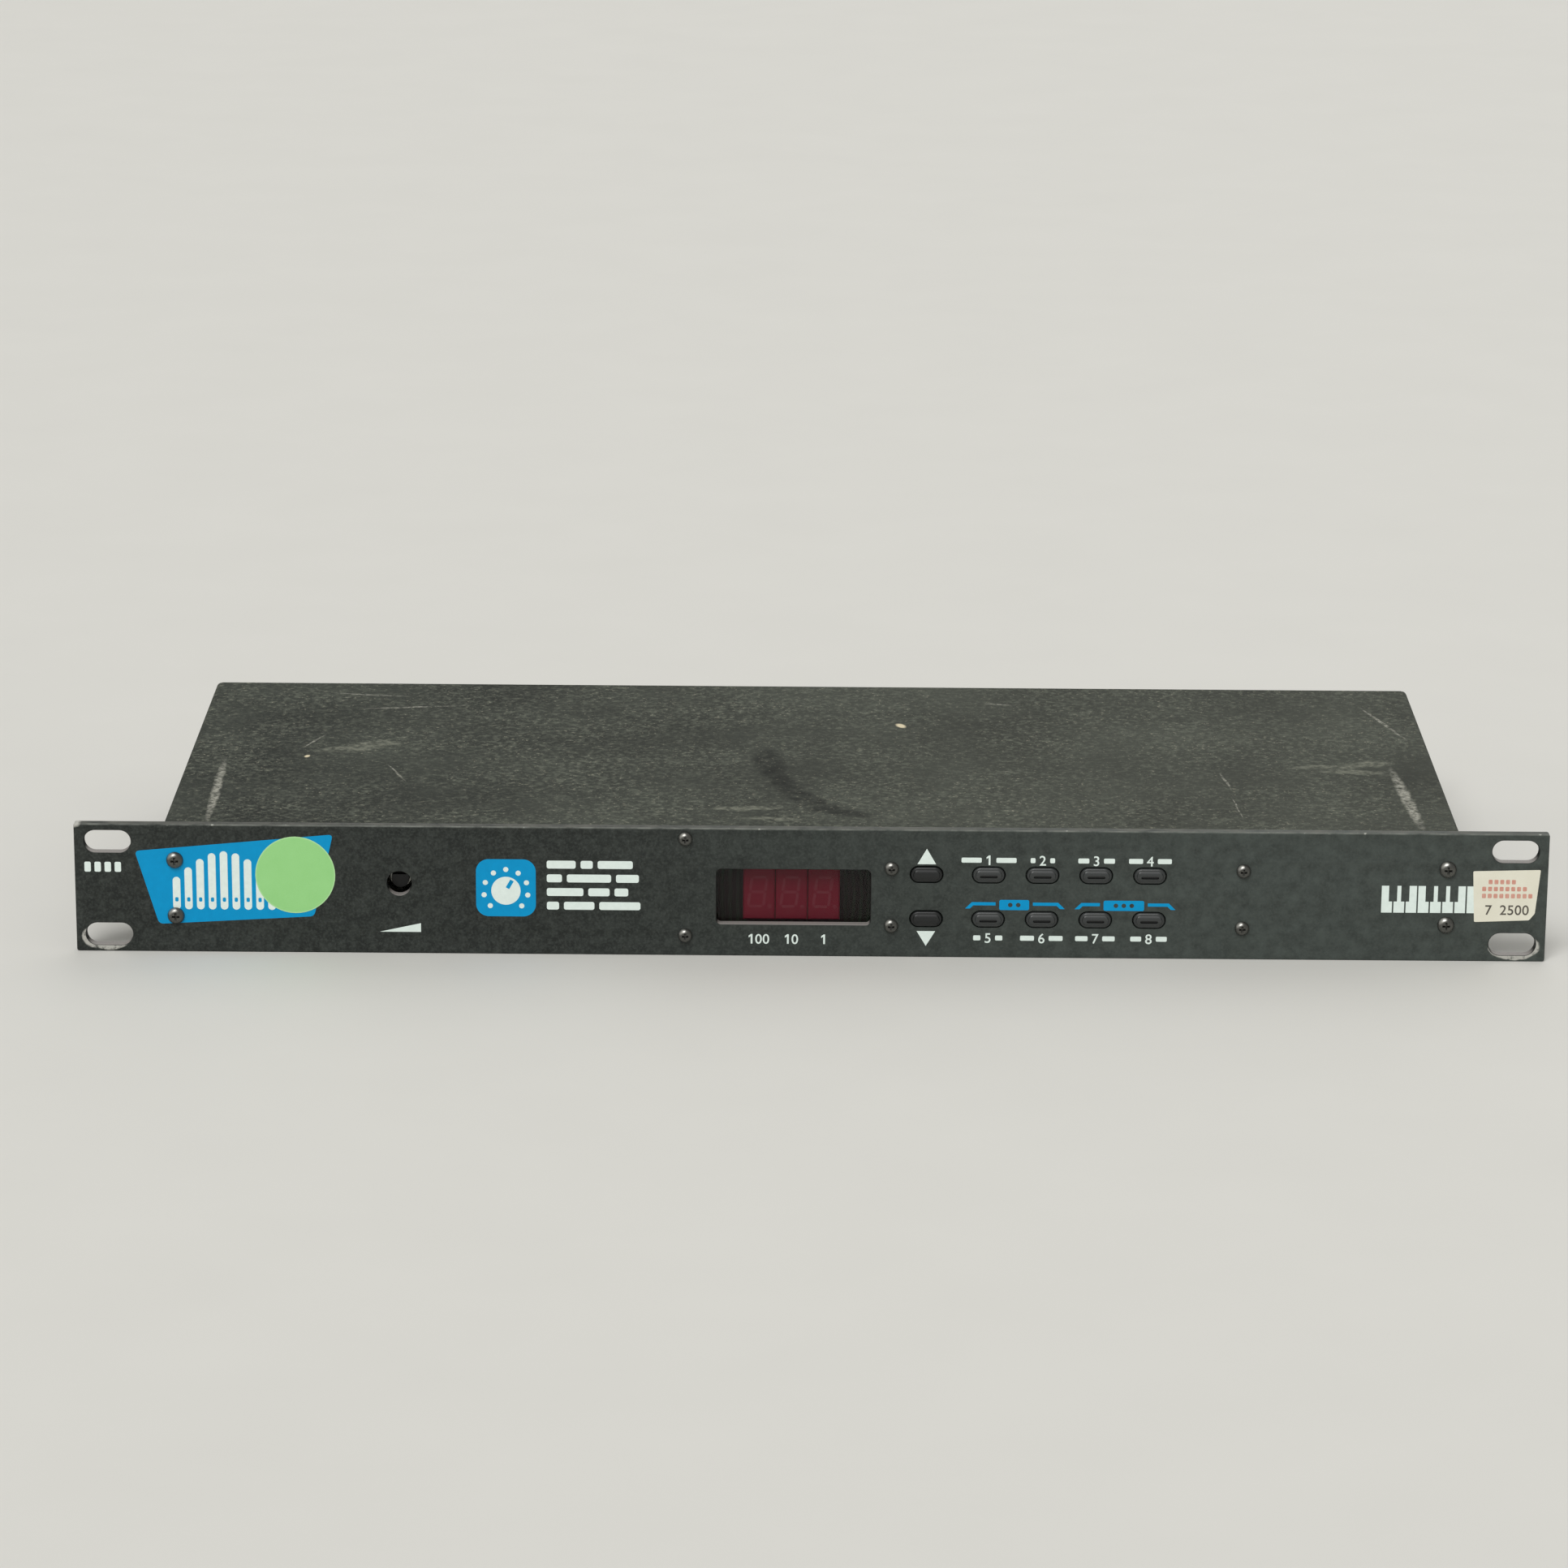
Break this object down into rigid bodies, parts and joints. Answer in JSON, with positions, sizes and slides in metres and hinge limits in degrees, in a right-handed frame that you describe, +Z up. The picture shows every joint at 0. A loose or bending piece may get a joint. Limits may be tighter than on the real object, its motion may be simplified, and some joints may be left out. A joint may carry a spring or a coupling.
{
  "type": "rack organ sound module",
  "caption": "Low rack-mount organ sound module: thick eared front panel with display window and pill keys on a folded steel chassis with rear sockets.",
  "frame": {"origin": "centre of the footprint, on the surface that the module rests on", "axes": "+X to the right seen from the front, along the panel; +Y from the front panel to the rear sockets; +Z up, from the tray's floor to the cover"},
  "size_m": [0.4826, 0.1838, 0.0437],
  "materials": {
    "panel_paint": "fine satin black",
    "cover_paint": "satin black, dusty",
    "zinc_steel": "zinc plated",
    "screw_steel": "black oxide, worn bright",
    "smoked_window": "smoked red acrylic",
    "digit_resin": "dark red resin",
    "black_key_plastic": "moulded black",
    "grey_key_plastic": "moulded grey",
    "black_socket_plastic": "moulded black",
    "circuit_board": "green solder mask on glass laminate",
    "nickel_plate": "nickel plated",
    "black_aluminium": "black anodised",
    "cable_jacket": "grey vinyl"
  },
  "bodies": {
    "root": {"front_panel": "panel_paint", "chassis_tray": "panel_paint", "top_cover": "cover_paint", "display_window": "smoked_window", "digit_1": "digit_resin", "digit_2": "digit_resin", "digit_3": "digit_resin", "front_board": "circuit_board", "switch_up": "black_socket_plastic", "switch_down": "black_socket_plastic", "switch_1": "black_socket_plastic", "switch_2": "black_socket_plastic", "switch_3": "black_socket_plastic", "switch_4": "black_socket_plastic", "switch_5": "black_socket_plastic", "switch_6": "black_socket_plastic", "switch_7": "black_socket_plastic", "switch_8": "black_socket_plastic", "panel_screw_1": "screw_steel", "panel_screw_2": "screw_steel", "panel_screw_3": "screw_steel", "panel_screw_4": "screw_steel", "board_screw_1": "screw_steel", "board_screw_2": "screw_steel", "board_screw_3": "screw_steel", "board_screw_4": "screw_steel", "board_screw_5": "screw_steel", "board_screw_6": "screw_steel", "cover_screw_rear_1": "screw_steel", "cover_screw_rear_2": "screw_steel", "cover_screw_left": "screw_steel", "cover_screw_right": "screw_steel", "pot_bracket": "zinc_steel", "volume_pot": "nickel_plate", "pot_nut": "nickel_plate", "main_board": "circuit_board", "heat_sink": "black_aluminium", "din_socket_1": "black_socket_plastic", "din_socket_2": "black_socket_plastic", "din_socket_3": "black_socket_plastic", "output_jack_left": "black_socket_plastic", "output_jack_right": "black_socket_plastic", "jack_nut_left": "nickel_plate", "jack_nut_right": "nickel_plate", "power_inlet": "black_socket_plastic", "power_switch_body": "black_socket_plastic", "ribbon_cable": "cable_jacket", "volume_lead": "cable_jacket"},
    "key_up": {"key_up": "black_key_plastic"},
    "key_down": {"key_down": "black_key_plastic"},
    "key_1": {"key_1": "grey_key_plastic"},
    "key_2": {"key_2": "grey_key_plastic"},
    "key_3": {"key_3": "grey_key_plastic"},
    "key_4": {"key_4": "grey_key_plastic"},
    "key_5": {"key_5": "grey_key_plastic"},
    "key_6": {"key_6": "grey_key_plastic"},
    "key_7": {"key_7": "grey_key_plastic"},
    "key_8": {"key_8": "grey_key_plastic"},
    "volume_shaft": {"volume_shaft": "black_key_plastic"},
    "power_rocker": {"power_rocker": "black_socket_plastic"}
  },
  "joints": [
    {"name": "key_up_press", "type": "slide", "parent": "root", "child": "key_up", "axis": [0, 1, 0], "range_m": [0, 0.0006], "stiffness_N_per_m": 150, "springref_m": -0.004},
    {"name": "key_down_press", "type": "slide", "parent": "root", "child": "key_down", "axis": [0, 1, 0], "range_m": [0, 0.0006], "stiffness_N_per_m": 150, "springref_m": -0.004},
    {"name": "key_1_press", "type": "slide", "parent": "root", "child": "key_1", "axis": [0, 1, 0], "range_m": [0, 0.0006], "stiffness_N_per_m": 150, "springref_m": -0.004},
    {"name": "key_2_press", "type": "slide", "parent": "root", "child": "key_2", "axis": [0, 1, 0], "range_m": [0, 0.0006], "stiffness_N_per_m": 150, "springref_m": -0.004},
    {"name": "key_3_press", "type": "slide", "parent": "root", "child": "key_3", "axis": [0, 1, 0], "range_m": [0, 0.0006], "stiffness_N_per_m": 150, "springref_m": -0.004},
    {"name": "key_4_press", "type": "slide", "parent": "root", "child": "key_4", "axis": [0, 1, 0], "range_m": [0, 0.0006], "stiffness_N_per_m": 150, "springref_m": -0.004},
    {"name": "key_5_press", "type": "slide", "parent": "root", "child": "key_5", "axis": [0, 1, 0], "range_m": [0, 0.0006], "stiffness_N_per_m": 150, "springref_m": -0.004},
    {"name": "key_6_press", "type": "slide", "parent": "root", "child": "key_6", "axis": [0, 1, 0], "range_m": [0, 0.0006], "stiffness_N_per_m": 150, "springref_m": -0.004},
    {"name": "key_7_press", "type": "slide", "parent": "root", "child": "key_7", "axis": [0, 1, 0], "range_m": [0, 0.0006], "stiffness_N_per_m": 150, "springref_m": -0.004},
    {"name": "key_8_press", "type": "slide", "parent": "root", "child": "key_8", "axis": [0, 1, 0], "range_m": [0, 0.0006], "stiffness_N_per_m": 150, "springref_m": -0.004},
    {"name": "volume_turn", "type": "hinge", "parent": "root", "child": "volume_shaft", "pos_m": [-0.13495, -0.08, 0.02405], "axis": [0, 1, 0], "range_deg": [-150, 150]},
    {"name": "power_rock", "type": "hinge", "parent": "root", "child": "power_rocker", "pos_m": [0.16, 0.0841, 0.0196], "axis": [1, 0, 0], "range_deg": [0, 18]}
  ]
}
